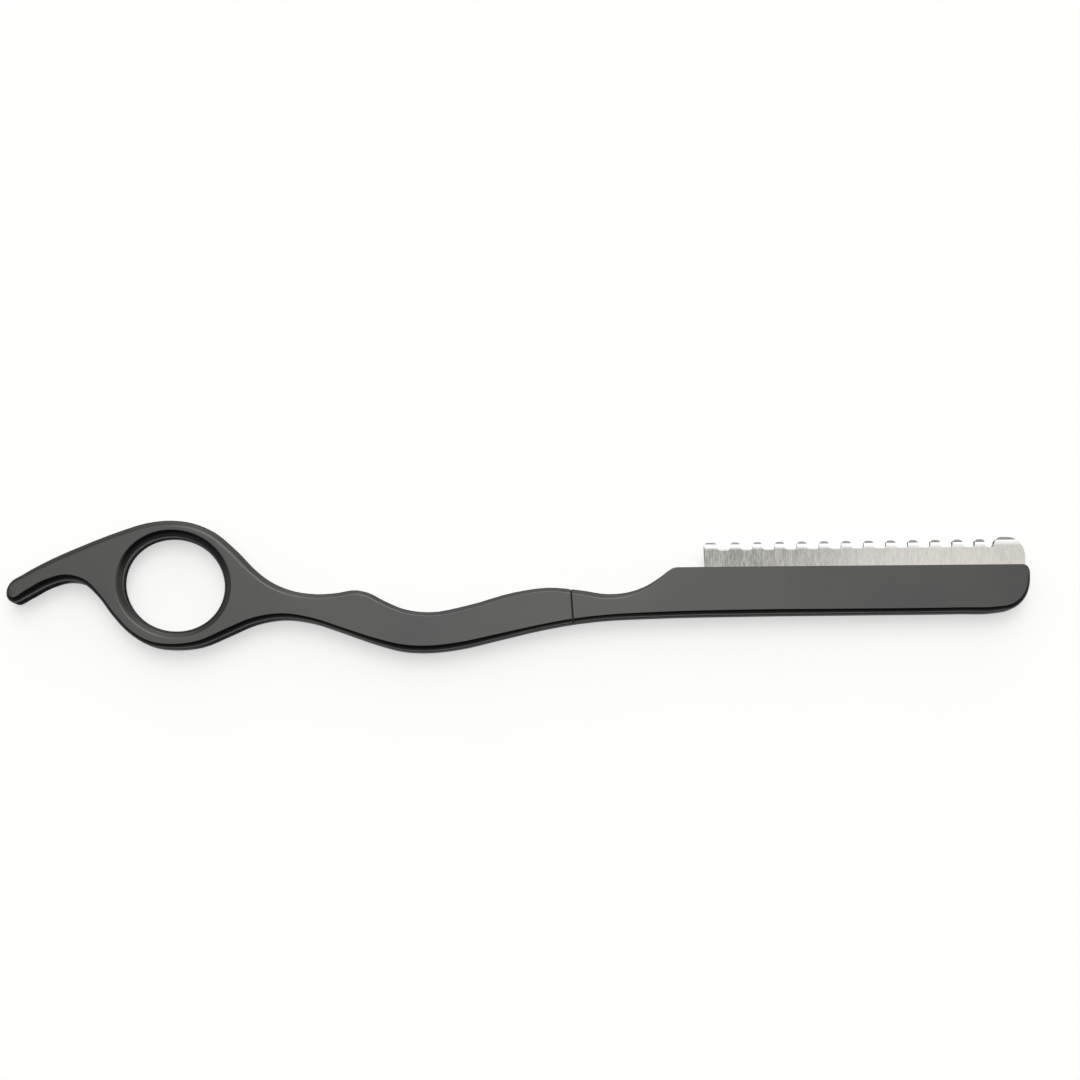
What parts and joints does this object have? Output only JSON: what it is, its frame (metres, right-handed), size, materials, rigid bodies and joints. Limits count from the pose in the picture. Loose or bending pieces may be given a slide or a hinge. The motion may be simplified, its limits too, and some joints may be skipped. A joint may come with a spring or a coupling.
{
  "type": "thinning razor comb",
  "caption": "Slim metal hair thinning razor with finger ring and tang; a folded comb guard covers a replaceable blade held under a front cover that swings open.",
  "frame": {"origin": "centre of the tool's length and width, on the flat back", "axes": "+X along the tool from the tang to the head's tip, +Y towards the comb teeth, +Z out of the front face"},
  "size_m": [0.24, 0.0312, 0.0056],
  "materials": {
    "black_satin": "satin black coating on metal",
    "black_satin_cover": "satin black coating on metal",
    "guard_steel": "brushed across the teeth",
    "blade_steel": "ground, bright edge",
    "spring_steel": "tempered strip",
    "pin_steel": "turned",
    "screw_steel": "turned, slotted",
    "washer_brass": "stamped",
    "magnet_plating": "nickel plated"
  },
  "bodies": {
    "handle": {"handle_body": "black_satin", "razor_blade": "blade_steel", "blade_clamp": "spring_steel", "locating_pin_left": "pin_steel", "locating_pin_right": "pin_steel", "stop_pin": "pin_steel", "rear_magnet": "magnet_plating", "bearing_washer": "washer_brass"},
    "cover": {"front_cover": "black_satin_cover", "cover_magnet": "magnet_plating", "pivot_post": "pin_steel", "pivot_screw": "screw_steel", "spring_washer": "spring_steel"},
    "guard": {"comb_guard": "guard_steel"}
  },
  "joints": [
    {"name": "cover_swing", "type": "hinge", "parent": "handle", "child": "cover", "pos_m": [0.1132, -0.0022, 0.0036], "axis": [0, 0, 1], "range_deg": [0, 90]},
    {"name": "guard_slide", "type": "slide", "parent": "handle", "child": "guard", "axis": [-0.0091, 1, 0], "range_m": [0, 0.012]}
  ]
}
